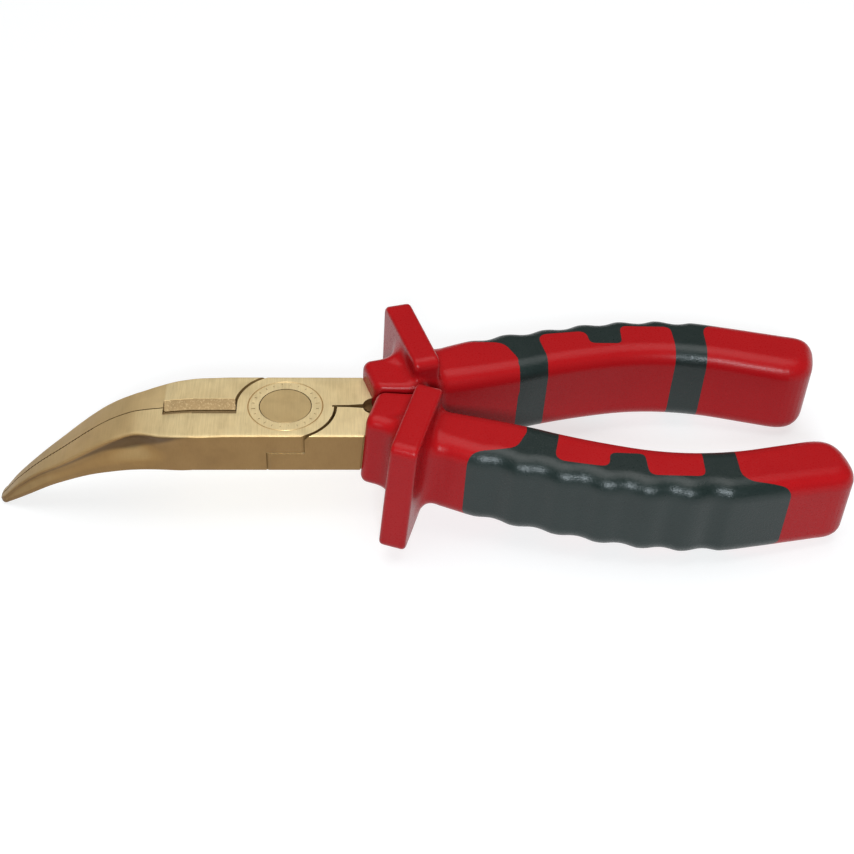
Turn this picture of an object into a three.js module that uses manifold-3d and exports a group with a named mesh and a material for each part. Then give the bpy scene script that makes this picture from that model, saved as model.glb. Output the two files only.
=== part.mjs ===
// Bent needle nose pliers with insulated two-colour handles, in millimetres, +Z up.
// The pivot axis is the Z axis. The jaws point along -X and the handles along +X.
// Z = 0 is the flat underside of the joint. Shapes are drawn about the levers' mid-plane.
import * as THREE from 'three';
import * as BufferGeometryUtils from 'three/addons/utils/BufferGeometryUtils.js';
import Module from 'manifold-3d';

const wasm = await Module();
wasm.setup();

// ---- driving dimensions -------------------------------------------------------------
const GAP = 0.3; // clearance between touching pieces
const HALF_WIDTH = 10.8; // joint, half of its width
const HALF_THICK = 5.35; // joint, half of its thickness
const LAP_RADIUS = 11.3; // round end of each half-lap
const BEND_START = -22; // X where the nose leaves the flat joint
const TIP_X = -70.6;
const DROOP = THREE.MathUtils.degToRad(1.58); // handles lean towards -Z
const SPLAY = THREE.MathUtils.degToRad(16.5); // collar and guard lean outwards in plan

const RIVET = { shank: 3.5, topHead: 6.1, bottomHead: 5.0, headHeight: 1.4 };
const TEETH = { pitch: 1.6, depth: 0.35, first: -64, last: -46 };
const CUTTER = { front: -28.5, back: -12, farSide: 2.2, nearSide: 2.6, depth: 1.9 };

// The lower edges of collar and guard lean to the jaws, by side (1 is far, -1 is near).
const LEAN = { 1: THREE.MathUtils.degToRad(-0.6), [-1]: THREE.MathUtils.degToRad(2.7) };
const GUARD_SHIFT = { 1: 0.45, [-1]: -0.1 }; // of each guard along its handle
const COLLAR = { start: 20.5, end: 32, inner: -5.4, outer: 6.0, bottom: -9.4, top: 11.3, radius: 2.6 };
const GUARD = { start: 29.3, end: 35.7, inner: -6.3, outer: 18.6, bottom: -15.3, top: 16.7, radius: 2.8 };
const GRIP = { halfHeight: 10.75, edge: 4.4 };
const SCALLOP = { pitch: 9.7, first: 42.9, count: 6, depth: 0.85 };
const OVERLAY_WALL = 1.7;
const TANG = { halfWidth: 3.4, halfHeight: 2.6, end: 117 };
const SLEEVE_WALL = 1.5;

const COLORS = { bronze: 0xc8ad78, rivet: 0xbfa36c, red: 0xb01c22, overlay: 0x2f3a3a, sleeve: 0xd9b23a };

// ---- helpers ------------------------------------------------------------------------
// A closed three.js geometry as a manifold solid.
function solid(geometry) {
  const bare = geometry.index ? geometry.toNonIndexed() : geometry.clone();
  bare.deleteAttribute('normal');
  bare.deleteAttribute('uv');
  const merged = BufferGeometryUtils.mergeVertices(bare, 1e-4);
  const vertProperties = new Float32Array(merged.attributes.position.array);
  const triVerts = new Uint32Array(merged.index.array);
  return new wasm.Manifold(new wasm.Mesh({ numProp: 3, vertProperties, triVerts }));
}

// A manifold solid as a named mesh with its own material.
function meshOf(name, body, color, roughness, metalness) {
  const data = body.getMesh();
  const geometry = new THREE.BufferGeometry();
  geometry.setAttribute('position', new THREE.BufferAttribute(new Float32Array(data.vertProperties), 3));
  geometry.setIndex(new THREE.BufferAttribute(new Uint32Array(data.triVerts), 1));
  geometry.computeVertexNormals();
  const material = new THREE.MeshStandardMaterial({ color, roughness, metalness });
  const mesh = new THREE.Mesh(geometry, material);
  mesh.name = name;
  return mesh;
}

// Plan shape from [x, y, corner radius] points; side -1 mirrors it to the near handle.
function planShape(corners, side = 1) {
  const points = corners.map(([x, y]) => new THREE.Vector2(x, y * side));
  const shape = new THREE.Shape();
  points.forEach((corner, i) => {
    const before = points[(i + points.length - 1) % points.length];
    const after = points[(i + 1) % points.length];
    const radius = corners[i][2] ?? 0;
    const enter = corner.clone().add(before.clone().sub(corner).setLength(radius));
    const leave = corner.clone().add(after.clone().sub(corner).setLength(radius));
    if (i === 0) shape.moveTo(enter.x, enter.y);
    else shape.lineTo(enter.x, enter.y);
    if (radius > 0) shape.quadraticCurveTo(corner.x, corner.y, leave.x, leave.y);
  });
  shape.closePath();
  return shape;
}

// A slab of a plan shape between two heights, with rounded edges and an optional offset.
function slab(shape, bottom, top, { edge = 0, grow = 0, steps = 2, curve = 4 } = {}) {
  const rounded = edge > 0 || grow !== 0;
  const geometry = new THREE.ExtrudeGeometry(shape, {
    depth: top - bottom - 2 * edge,
    bevelEnabled: rounded,
    bevelThickness: edge,
    bevelSize: Math.max(edge, 1e-3),
    bevelOffset: grow - Math.max(edge, 1e-3),
    bevelSegments: edge > 0 ? steps : 1,
    curveSegments: curve,
  });
  geometry.translate(0, 0, bottom + edge);
  return geometry;
}

// A disc about the pivot axis.
function disc(radius, bottom, top, segments = 56) {
  const geometry = new THREE.CylinderGeometry(radius, radius, top - bottom, segments);
  geometry.rotateX(Math.PI / 2);
  geometry.translate(0, 0, (top + bottom) / 2);
  return solid(geometry);
}

function box(x0, x1, y0, y1, z0, z1) {
  const geometry = new THREE.BoxGeometry(x1 - x0, y1 - y0, z1 - z0);
  geometry.translate((x0 + x1) / 2, (y0 + y1) / 2, (z0 + z1) / 2);
  return solid(geometry);
}

// Points along a smooth curve through a few [a, b] points.
function smooth(points, count) {
  const curve = new THREE.CatmullRomCurve3(points.map(([a, b]) => new THREE.Vector3(a, b, 0)));
  return curve.getPoints(count).map((p) => [p.x, p.y]);
}

function drooped(geometry) {
  return geometry.rotateY(DROOP);
}

// ---- jaws ---------------------------------------------------------------------------
// Half width of the closed jaws from the joint to the tip.
const jawOutline = [
  [BEND_START, HALF_WIDTH], [-27, 10.3], [-31, 9.4], [-35, 8.5], [-39, 7.8], [-43, 7.2],
  [-49, 6.3], [-55, 5.15], [-61, 3.9], [-65.5, 2.85], [-68.6, 1.8], [TIP_X, 0.6],
];
// Upper and lower lines of the bent nose, as [x, z].
const noseTop = [
  [BEND_START, HALF_THICK], [-26, 5.05], [-29.4, 4.6], [-33, 4.15], [-36.5, 3.35], [-41.4, 1.1],
  [-46.5, -2.3], [-54.2, -8.35], [-59.5, -12.4], [-64.9, -17.3], [-67.7, -20.5], [TIP_X + 0.3, -23.1],
];
const noseBottom = [
  [TIP_X + 0.5, -24.7], [-67.4, -23.3], [-62, -19.3], [-56.8, -15.8], [-51.4, -12.8],
  [-46.5, -10.4], [-41.5, -8.6], [-36, -6.9], [-30, -5.8], [BEND_START, -HALF_THICK],
];

// The nose's side view, extruded across the jaws.
function noseProfile() {
  const outline = [[2, -HALF_THICK], [2, HALF_THICK], ...smooth(noseTop, 20), ...smooth(noseBottom, 14)];
  const geometry = slab(planShape(outline), -HALF_WIDTH - 1, HALF_WIDTH + 1);
  return solid(geometry.rotateX(Math.PI / 2));
}

function jaw(side) {
  const edge = smooth(jawOutline, 18).map(([x, y]) => [x, side * y]);
  const plan = [[0, side * GAP / 2], [0, side * HALF_WIDTH], ...edge, [TIP_X, side * GAP / 2]];
  return solid(slab(planShape(plan), -30, 10)).intersect(noseProfile());
}

// Fine teeth across the gripping face of one jaw, cut as wedges.
function teeth(side) {
  const wedges = [];
  for (let x = TEETH.last; x > TEETH.first; x -= TEETH.pitch) {
    const flat = side * GAP * 0.45;
    const tooth = [[x - 0.5, flat], [x, side * (GAP / 2 + TEETH.depth)], [x + 0.5, flat]];
    wedges.push(solid(slab(planShape(tooth), -30, 10)));
  }
  return wedges;
}

// The side cutter's V recess in the upper face.
function cutterRecess() {
  const { front, back, farSide, nearSide, depth } = CUTTER;
  const top = HALF_THICK + 0.5;
  const section = [[-nearSide, top], [-nearSide, HALF_THICK], [-1.6, HALF_THICK - depth],
    [-0.9, HALF_THICK - depth], [farSide, HALF_THICK - 0.4], [farSide, top]];
  const geometry = slab(planShape(section), 0, back - front);
  geometry.rotateX(Math.PI / 2);
  geometry.rotateZ(Math.PI / 2);
  geometry.translate(front, 0, 0);
  return solid(geometry);
}

// ---- tangs --------------------------------------------------------------------------
// Centreline of the handle in plan, followed by the tang and its sleeve.
const handleLine = [
  [20, 6.4], [30, 9.4], [38, 12], [47, 14.8], [57, 17.4], [67, 20], [78, 22.6],
  [92, 24.6], [104, 23.9], [114, 21.9], [124, 19.6],
];

const handleCurve = new THREE.SplineCurve(handleLine.map(([x, y]) => new THREE.Vector2(x, y)));
const centreline = handleCurve.getPoints(200);

// Y of the centreline at a given X.
function centreY(x) {
  const next = Math.max(centreline.findIndex((p) => p.x > x), 1);
  const [a, b] = [centreline[next - 1], centreline[next]];
  return THREE.MathUtils.mapLinear(x, a.x, b.x, a.y, b.y);
}

// A bar along the centreline from one X to another, as a plan outline.
function barShape(halfWidth, startX, endX, side) {
  const steps = Math.ceil((endX - startX) / 6);
  const stations = Array.from({ length: steps + 1 }, (_, i) => startX + ((endX - startX) * i) / steps);
  const edge = (sign) => stations.map((x) => {
    const slope = Math.atan((centreY(x + 1) - centreY(x - 1)) / 2);
    return [x - sign * Math.sin(slope) * halfWidth, centreY(x) + sign * Math.cos(slope) * halfWidth];
  });
  return planShape([...edge(1), ...edge(-1).reverse()], side);
}

function bar(halfWidth, halfHeight, startX, endX, side) {
  return solid(drooped(slab(barShape(halfWidth, startX, endX, side), -halfHeight, halfHeight)));
}

// A plan point given along and across the splayed handle axis.
function splayed(along, across) {
  const [c, t] = [Math.cos(SPLAY), Math.sin(SPLAY)];
  return [along * c - across * t, along * t + across * c];
}

// The wide root of the tang that enters the collar, grown where it cuts the grip.
function tangRoot(side, grow = 0) {
  const outline = [[16, -2.9], [26, -2.9], [26, 4.2], [20, 4.8], [17.5, 4.8]];
  const corners = outline.map(([along, across]) => splayed(along, across));
  return solid(slab(planShape(corners, side), -HALF_THICK - grow, HALF_THICK + grow, { grow }));
}

// X of the metal's end just in front of the collar, at a given Y.
function frontX(y) {
  return (COLLAR.start - 0.8 - y * Math.sin(SPLAY)) / Math.cos(SPLAY);
}

function tang(side) {
  const plan = [[0, GAP / 2], [0, HALF_WIDTH], [frontX(HALF_WIDTH), HALF_WIDTH],
    [frontX(3.5), 3.5], [frontX(3.5), GAP / 2]];
  const notchDisc = new THREE.CylinderGeometry(3, 3, 14, 32).rotateX(Math.PI / 2);
  const notch = solid(notchDisc.translate(21.2, 0, 0));
  const slot = solid(slab(planShape([[11, 0], [19, 0], [19, 0.75], [11, 0.2]], side), -7, 7));
  return solid(slab(planShape(plan, side), -HALF_THICK, HALF_THICK))
    .subtract(notch)
    .subtract(slot)
    .add(tangRoot(side))
    .add(bar(TANG.halfWidth, TANG.halfHeight, 21, TANG.end, side));
}

// ---- levers and rivet ---------------------------------------------------------------
// jawSide is the sign of Y of the lever's jaw; lapSide is the sign of Z of its half-lap.
function lever(name, jawSide, lapSide) {
  const clearBottom = lapSide > 0 ? -8 : -GAP / 2;
  const clearTop = lapSide > 0 ? GAP / 2 : 8;
  const lapBottom = lapSide > 0 ? GAP / 2 : -HALF_THICK;
  const lapTop = lapSide > 0 ? HALF_THICK : -GAP / 2;
  const strip = box(-15, 15, -HALF_WIDTH, HALF_WIDTH, -8, 8);
  const lap = disc(LAP_RADIUS, lapBottom, lapTop).intersect(strip);
  let body = jaw(jawSide).add(tang(-jawSide));
  body = body.subtract(disc(LAP_RADIUS + GAP, clearBottom, clearTop));
  body = body.add(lap).subtract(cutterRecess());
  teeth(jawSide).forEach((wedge) => {
    body = body.subtract(wedge);
  });
  body = body.subtract(disc(RIVET.shank + GAP, -8, 8, 32));
  const seat = lapSide > 0
    ? disc(RIVET.topHead + GAP, HALF_THICK - RIVET.headHeight - GAP, 8)
    : disc(RIVET.bottomHead + GAP, -8, -HALF_THICK + RIVET.headHeight + GAP);
  return meshOf(name, body.subtract(seat), COLORS.bronze, 0.42, 0.85);
}

// A flush rivet turned as one profile, with a wide head in the upper lap.
function pivotRivet() {
  const { shank, topHead, bottomHead, headHeight } = RIVET;
  const profile = [
    [0, -HALF_THICK], [bottomHead, -HALF_THICK], [bottomHead, headHeight - HALF_THICK],
    [shank, headHeight - HALF_THICK], [shank, HALF_THICK - headHeight],
    [topHead, HALF_THICK - headHeight], [topHead, HALF_THICK], [0, HALF_THICK],
  ].map(([r, z]) => new THREE.Vector2(r, z));
  const geometry = new THREE.LatheGeometry(profile, 40);
  return meshOf('pivot_rivet', solid(geometry.rotateX(Math.PI / 2)), COLORS.rivet, 0.4, 0.85);
}

// ---- grips --------------------------------------------------------------------------
// Finger scallops: how far the outer face lies under its crests at a given X.
function scallop(x) {
  if (x < SCALLOP.first || x > SCALLOP.first + SCALLOP.count * SCALLOP.pitch) return 0;
  const phase = Math.PI * (x - SCALLOP.first) / SCALLOP.pitch;
  return SCALLOP.depth * Math.sin(phase) ** 2;
}

const outerFace = [
  [36, 18.7], [44, 22.1], [52.6, 24.9], [62, 27.5], [71.5, 29.9], [81, 31.6], [91.4, 32.5],
  [101, 32.1], [110, 30.5], [124.4, 27.5],
];
const innerFace = [
  [120, 12.5], [114, 13.9], [104, 16.1], [94, 17.0], [84, 16.4], [73, 14.1], [64, 11.6],
  [57, 9.3], [47, 6.6], [36, 4.0],
];

const handleEnd = [[132.1, 26.2, 6.4], [128.7, 10.7, 7.8]]; // corners with their rounding

function gripPlan(side) {
  const outer = smooth(outerFace, 48).map(([x, y]) => [x, y - scallop(x)]);
  const root = [[28, 2.2], [28, 14]]; // hidden inside the collar and the guard
  return planShape([...outer, ...handleEnd, ...smooth(innerFace, 16), ...root], side);
}

// A rounded plate across the handle: part of the collar or the guard.
function crossPlate(plate, edge, side, shift = 0) {
  const corners = [
    [side * plate.inner, plate.bottom, plate.radius],
    [side * plate.outer, plate.bottom, plate.radius],
    [side * plate.outer, plate.top, plate.radius],
    [side * plate.inner, plate.top, plate.radius],
  ];
  const geometry = slab(planShape(corners), plate.start + shift, plate.end + shift, { edge });
  geometry.translate(0, 0, -GUARD.start);
  geometry.rotateX(LEAN[side]);
  geometry.translate(0, 0, GUARD.start);
  const along = new THREE.Vector3(Math.cos(SPLAY), side * Math.sin(SPLAY), 0);
  const up = new THREE.Vector3(0, 0, 1);
  const across = up.clone().cross(along);
  geometry.applyMatrix4(new THREE.Matrix4().makeBasis(across, up, along));
  return solid(drooped(geometry));
}

function gripBlank(side) {
  const { halfHeight, edge } = GRIP;
  const body = solid(drooped(slab(gripPlan(side), -halfHeight, halfHeight, { edge })));
  return body.add(crossPlate(COLLAR, 1.4, side)).add(crossPlate(GUARD, 1.3, side, GUARD_SHIFT[side]));
}

// What lies under the overlay's outer skin.
function underSkin(side, wall) {
  const { halfHeight, edge } = GRIP;
  const inset = { edge: edge - wall, grow: -wall };
  const geometry = slab(gripPlan(side), wall - halfHeight, halfHeight - wall, inset);
  return solid(drooped(geometry));
}

// Plan outline of the soft overlay: the outer strip, two bands around the grip and a tab.
const overlayOutline = [
  [40.5, 36], [41, 20, 2.6], [52.6, 19.2, 2.2], [55.6, 13.5, 1], [55.8, 3],
  [63.4, 3], [63, 14, 2], [61, 22.9, 3], [73.4, 24.9, 2.4], [74, 20.1, 1.6], [82, 20.3, 1.6],
  [82.2, 27.3, 2], [95, 27.4, 2], [95.5, 12], [103, 12], [103.2, 28.4, 3.5], [115.8, 28.9, 3.6], [117.4, 36],
];

function overlayRegion(side, grow) {
  const shape = planShape(overlayOutline, side);
  return solid(drooped(slab(shape, -14, 14, { grow, curve: 3 })));
}

function overlay(name, side) {
  const { halfHeight, edge } = GRIP;
  const body = solid(drooped(slab(gripPlan(side), -halfHeight, halfHeight, { edge })));
  const skin = body.intersect(overlayRegion(side, 0)).subtract(underSkin(side, OVERLAY_WALL));
  return meshOf(name, skin, COLORS.overlay, 0.75, 0);
}

function sleeve(name, side) {
  const width = TANG.halfWidth + GAP;
  const height = TANG.halfHeight + GAP;
  const outside = bar(width + SLEEVE_WALL, height + SLEEVE_WALL, 29, TANG.end + 3, side);
  const body = outside.subtract(bar(width, height, 20, TANG.end + 1, side));
  return meshOf(name, body, COLORS.sleeve, 0.6, 0);
}

function grip(name, side) {
  const wall = SLEEVE_WALL + 2 * GAP;
  const recess = overlayRegion(side, GAP).subtract(underSkin(side, OVERLAY_WALL + GAP));
  const sleeveBore = bar(TANG.halfWidth + wall, TANG.halfHeight + wall, 28, TANG.end + 4, side);
  const tangBore = bar(TANG.halfWidth + GAP, TANG.halfHeight + GAP, 20, 32, side);
  const body = gripBlank(side)
    .subtract(recess)
    .subtract(sleeveBore)
    .subtract(tangBore)
    .subtract(tangRoot(side, GAP));
  return meshOf(name, body, COLORS.red, 0.35, 0);
}

// ---- assembly -----------------------------------------------------------------------
const FAR = 1;
const NEAR = -1;
const pliers = new THREE.Group();
pliers.position.z = HALF_THICK;
pliers.add(lever('upper_lever', NEAR, 1));
pliers.add(lever('lower_lever', FAR, -1));
pliers.add(pivotRivet());
[['right', FAR], ['left', NEAR]].forEach(([word, side]) => {
  pliers.add(sleeve(`${word}_tang_sleeve`, side));
  pliers.add(grip(`${word}_grip`, side));
  pliers.add(overlay(`${word}_overlay`, side));
});

const part = new THREE.Group();
part.add(pliers);

export default part;
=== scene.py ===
"""Looks of the bent needle nose pliers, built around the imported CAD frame.

Shapes are made in millimetres about the levers' mid-plane, and handed to the frame in metres.
"""

import math

import bmesh
import bpy
import numpy as np
from mathutils import Matrix, Vector


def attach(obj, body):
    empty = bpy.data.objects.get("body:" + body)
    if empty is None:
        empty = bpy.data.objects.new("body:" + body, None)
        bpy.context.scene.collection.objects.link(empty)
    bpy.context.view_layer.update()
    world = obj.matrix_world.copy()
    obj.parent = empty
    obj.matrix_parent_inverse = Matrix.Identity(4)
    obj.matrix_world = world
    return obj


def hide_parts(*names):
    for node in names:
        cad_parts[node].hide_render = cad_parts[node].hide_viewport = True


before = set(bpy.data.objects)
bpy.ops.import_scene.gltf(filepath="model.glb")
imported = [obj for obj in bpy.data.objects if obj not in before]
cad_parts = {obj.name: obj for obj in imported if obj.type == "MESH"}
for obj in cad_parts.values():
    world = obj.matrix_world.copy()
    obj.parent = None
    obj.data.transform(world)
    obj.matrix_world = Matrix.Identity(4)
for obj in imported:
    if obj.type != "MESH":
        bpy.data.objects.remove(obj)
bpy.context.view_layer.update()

# ---- dimensions, in mm ----------------------------------------------------------------
MM = 0.001
HALF_WIDTH = 10.8  # joint, half of its width
HALF_THICK = 5.35  # joint, half of its thickness; the frame's Z = 0 is the joint's underside
LAP_RADIUS = {1: 11.45, -1: 11.3}  # upper and lower half-lap
SEAM = 0.32  # visible gap between the two levers
DROOP = math.radians(1.58)  # of the handles, outer end downwards
SPLAY = math.radians(16.5)  # of the collars and guards from the tool's long axis, in plan
# Of the far (1) and the near (-1) guard and collar, lower edge towards the jaws.
LEAN = {1: math.radians(-0.6), -1: math.radians(2.7)}
COLLAR = dict(start=20.3, end=32.0, inner=-10, outer=6.0, bottom=-9.4, top=11.3, radius=2.8, edge=2.0)
COLLAR_INNER = 0.85  # from the parting plane to the collars' inner faces
GUARD = dict(start=29.3, end=35.7, inner=-6.1, outer=18.6, bottom=-15.3, top=16.6, radius=2.4, edge=1.0)
GUARD_SHIFT = {1: 0.45, -1: -0.1}  # of each guard along its handle
HANDLE_BOX = ((16.5, -1.5, -17.5), (133, 35, 18.8))  # what holds a whole handle, before it droops
GRIP_HALF_HEIGHT = 10.75
GRIP_EDGE = 4.4
GRIP_FULLNESS = 0.4  # how much fuller the far grip is beside its guard
SCALLOP_PITCH = 9.7
SCALLOP_FIRST = 42.9
SCALLOP_COUNT = 6
SCALLOP_DEPTH = 0.95
OVERLAY_WALL = 1.7
OVERLAY_HALF_HEIGHT = 14  # of its cutter, past both faces of the grip
BAND_SLANT = 1.8  # how far the overlay's front band runs back towards the underside
VOXEL = 0.36
CORE_VOXEL = 0.8

# Flat bars along a handle: half width, half height, start and end.
TANG_BAR = (3.4, 2.6, 21, 117)
BORE_BAR = (5.5, 4.7, 28, 121)
NECK_BAR = (3.6, 2.8, 20, 29)
TANG_CLEARANCE = 0.12  # between a tang's root and its collar
COLLAR_CLEARANCE = 0.04  # between a tang's end face and its collar

RIVET_HEAD = 6.1
RIVET_FOOT = 5.0
RIVET_SHANK = 3.5
RIVET_HEAD_HEIGHT = 1.4
RIVET_CLEARANCE = 0.13  # round its head and its foot
RING_RADIUS = 8.8
RING_HALF_WIDTH = 0.16
TICK = dict(count=24, radius=7.62, long=0.95, short=0.55, half_width=0.11, depth=0.13)

NOSE_START = -22  # X where the straight joint ends and the nose begins
CREST_END = -20  # X from which the joint has its full width
JOINT_EDGE = 0.45  # rounding of the joint's long upper edges
NOTCH = dict(x=21.2, radius=3.0, depth=1.7)  # round, in front of the collars
SLOT = [[11, -0.3], [15, -0.4], [19.2, -0.8], [19.2, 0.8], [15, 0.4], [11, 0.3]]  # between the tangs
FLARE = dict(width=0.45, depth=1.2)  # of the gap round the upper lap, at the surface
TEETH = dict(first=-46.0, last=-63.5, pitch=0.82, half_width=0.24, depth=0.26)
CUT = 8  # past the joint's faces, mm from the mid-plane
DEEP = 40  # past all of the nose, mm from the mid-plane
HIGH = 20  # past the laps on both sides, mm from the mid-plane

# Half width of the nose at its top crest, as [x, y].
CREST = [[-69.9, 1.2], [-68.5, 1.9], [-65, 2.6], [-59.8, 3.7], [-54.8, 5.15], [-49.7, 6.3], [-44.5, 6.95],
         [-39.6, 7.3], [-37, 7.4], [-34.8, 7.7], [-33, 8.2], [-30.5, 9.1], [-28.3, 9.75], [-25.5, 10.3],
         [-22, 10.65], [-20, 10.8]]
# How far the crest line sits towards -Y, the same for both jaws.
OFFSET = [[-44, 0], [-34, 0.3], [-26, 0.5], [-20, 0.35], [-13, 0]]
# How far the crowned top falls from the parting line to the crest.
CROWN = [[-69.9, 0.05], [-59.8, 0.15], [-49.7, 0.25], [-39.6, 0.25], [-31, 0.15], [-26, 0.05], [-22, 0.0]]
# Rounding of the crest.
CREST_ROUNDING = [[-69.9, 0.4], [-65, 0.45], [-59.8, 0.55], [-54.8, 0.65], [-49.7, 0.75], [-44.5, 0.85],
                  [-39.6, 0.8], [-34.8, 0.6], [-30, 0.5], [-22, 0.45]]
# Half width of the nose at its bottom edge.
FOOT = [[-69.9, 0.8], [-69.3, 1.5], [-68, 2.2], [-62, 3.85], [-54, 5.35], [-46.8, 6.75], [-40.3, 8.05],
        [-34.7, 9.2], [-30, 10.05], [-25, 10.7], [-22, 10.8]]
# Upper and lower lines of the bent nose, as [x, z].
NOSE_TOP = [[-70, -23.6], [-69.7, -23.1], [-67.7, -20.5], [-64.9, -17.3], [-59.5, -12.4], [-54.2, -8.35],
            [-46.5, -2.3], [-41.4, 1.1], [-36.5, 3.35], [-33, 4.15], [-29.4, 4.6], [-26, 5.05], [-22, 5.35]]
NOSE_BOTTOM = [[-69.5, -24.6], [-67.4, -23.3], [-62, -19.45], [-56.8, -15.95], [-51.4, -12.95],
               [-46.5, -10.55], [-41.5, -8.7], [-36, -7.0], [-30, -5.9], [-22, -5.4]]
# Where the leaning section planes meet the bottom line, for an X on the top line.
SECTION_LEAN = [[-69.75, -69.35], [-67.3, -66], [-64.3, -62], [-60, -57.5], [-55.5, -52.5], [-51, -47.5],
                [-46.5, -43], [-41.4, -38.5], [-36.5, -34.5], [-30, -29], [-22, -22]]
# Depth of the hollow in the flanks under the crest.
HOLLOW = [[-69, 0.0], [-62, 0.25], [-52, 0.4], [-44, 0.6], [-38, 1.0], [-34, 1.15], [-30.5, 0.8], [-27, 0.3],
          [-24, 0.0], [-22, 0.0]]
# Where the dark band of painted shade in the hollow starts and ends under the crest, as shares of the
# height.
SHADE_BAND = [[-69, 0.2, 0.24], [-61.5, 0.21, 0.29], [-54, 0.2, 0.31], [-47, 0.21, 0.34], [-43, 0.2, 0.36],
        [-39.5, 0.16, 0.42], [-37, 0.11, 0.47], [-35, 0.08, 0.48], [-31, 0.04, 0.36], [-28, 0.03, 0.22],
        [-25, 0.02, 0.08], [-22, 0.0, 0.01]]

# Handles in plan, before the scallops: faces, rounded outer end, overlay and middle line.
OUTER_FACE = [[36, 18.7], [44, 22.1], [52.6, 24.9], [62, 27.5], [71.5, 29.9], [81, 31.6], [91.4, 32.46],
              [101, 32.1], [110, 30.5], [124.4, 27.5]]
INNER_FACE = [[120, 12.5], [114, 13.9], [104, 16.1], [94, 17.0], [84, 16.4], [73, 14.1], [64, 11.6],
              [57, 9.3], [47, 6.6], [36, 4.0]]
HANDLE_END = [[132.0, 26.2, 6.4], [128.65, 10.7, 7.8]]
OVERLAY_OUTLINE = [[40.2, 36], [40.8, 20.2, 3.4], [52.6, 19.2, 2.2], [55.6, 13.5, 1], [55.8, 3],
                   [63.4, 3], [63, 14, 2], [61.0, 22.9, 3.0], [73.4, 24.9, 2.4], [74, 20.1, 1.6],
                   [82, 20.3, 1.6], [82.2, 27.3, 2], [95, 27.4, 2], [95.5, 12], [103, 12],
                   [103.2, 28.4, 3.5], [115.8, 28.9, 3.6], [117.4, 36]]
HANDLE_LINE = [[20, 6.4], [30, 9.4], [38, 12], [47, 14.8], [57, 17.4], [67, 20], [78, 22.6],
               [92, 24.6], [104, 23.9], [114, 21.9], [124, 19.6]]


# ---- curves and outlines --------------------------------------------------------------
def spline(points, count):
    """A smooth open curve through the points, as a (count, dims) array."""
    p = np.array(points, float)
    p = np.vstack([2 * p[0] - p[1], p, 2 * p[-1] - p[-2]])
    t = np.linspace(0, len(p) - 3 - 1e-9, count)
    i = t.astype(int)
    f = (t - i)[:, None]
    a, b, c, d = p[i], p[i + 1], p[i + 2], p[i + 3]
    return 0.5 * (2 * b + (c - a) * f + (2 * a - 5 * b + 4 * c - d) * f**2 + (3 * b - a - 3 * c + d) * f**3)


def curve(points):
    """A smooth function of x through [x, value] points that rise in x."""
    dense = spline(points, 40 * len(points))
    order = np.argsort(dense[:, 0])
    return lambda x: np.interp(x, dense[order, 0], dense[order, 1])


def rounded(corners, steps=8):
    """A closed outline from [x, y, rounding] corners."""
    points = [np.array(c[:2], float) for c in corners]
    out = []
    for i, corner in enumerate(points):
        radius = corners[i][2] if len(corners[i]) > 2 else 0
        if radius == 0:
            out.append(corner)
            continue
        before, after = points[i - 1], points[(i + 1) % len(points)]
        enter = corner + (before - corner) * radius / np.linalg.norm(before - corner)
        leave = corner + (after - corner) * radius / np.linalg.norm(after - corner)
        for t in np.linspace(0, 1, steps + 1):
            out.append((1 - t) ** 2 * enter + 2 * t * (1 - t) * corner + t * t * leave)
    return np.array(out)


# ---- meshes ---------------------------------------------------------------------------
def make(name, vertices, faces):
    """An object from points and the point numbers of its faces."""
    mesh = bpy.data.meshes.new(name)
    mesh.from_pydata([tuple(v) for v in np.asarray(vertices, float).tolist()], [], [tuple(f) for f in faces])
    mesh.validate()
    mesh.update()
    o = bpy.data.objects.new(name, mesh)
    bpy.context.scene.collection.objects.link(o)
    return o


def prism(name, outline, bottom, top):
    """An outline in plan, between two heights."""
    n = len(outline)
    low = np.column_stack([outline, np.full(n, bottom)])
    high = np.column_stack([outline, np.full(n, top)])
    faces = [tuple(range(n))[::-1], tuple(range(n, 2 * n))]
    faces += [(i, (i + 1) % n, (i + 1) % n + n, i + n) for i in range(n)]
    x, y = outline.T
    if np.sum(x * np.roll(y, -1) - np.roll(x, -1) * y) < 0:
        faces = [f[::-1] for f in faces]
    return make(name, np.vstack([low, high]), faces)


def between_loops(loops, size):
    """Quads between neighbouring loops of size points each."""
    faces = []
    for i in range(loops - 1):
        for k in range(size):
            m = (k + 1) % size
            faces.append((i * size + k, (i + 1) * size + k, (i + 1) * size + m, i * size + m))
    return faces


def facing_out(o, weld=False):
    """Turns every face outwards, after joining doubled points where asked."""
    b = bmesh.new()
    b.from_mesh(o.data)
    if weld:
        bmesh.ops.remove_doubles(b, verts=b.verts, dist=1e-5)
        bmesh.ops.dissolve_degenerate(b, edges=b.edges, dist=1e-5)
    bmesh.ops.recalc_face_normals(b, faces=b.faces)
    b.to_mesh(o.data)
    b.free()
    return o


def turned(name, profile):
    """A closed profile of [radius, z] points turned about the Z axis."""
    segments = 128
    angles = np.arange(segments) * 2 * math.pi / segments
    n = len(profile)
    vertices = [[r * math.cos(a), r * math.sin(a), z] for a in angles for r, z in profile]
    faces = []
    for i in range(segments):
        j = (i + 1) % segments
        for k in range(n):
            m = (k + 1) % n
            faces.append((i * n + k, j * n + k, j * n + m, i * n + m))
    return facing_out(make(name, vertices, faces), weld=True)


def disc(name, radius, bottom, top):
    """A flat cylinder about the Z axis."""
    segments = 160
    angles = np.arange(segments) * 2 * math.pi / segments
    return prism(name, np.column_stack([np.cos(angles), np.sin(angles)]) * radius, bottom, top)


def block(name, x0, x1, y0, y1, z0, z1):
    return prism(name, np.array([[x0, y0], [x1, y0], [x1, y1], [x0, y1]], float), z0, z1)


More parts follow.
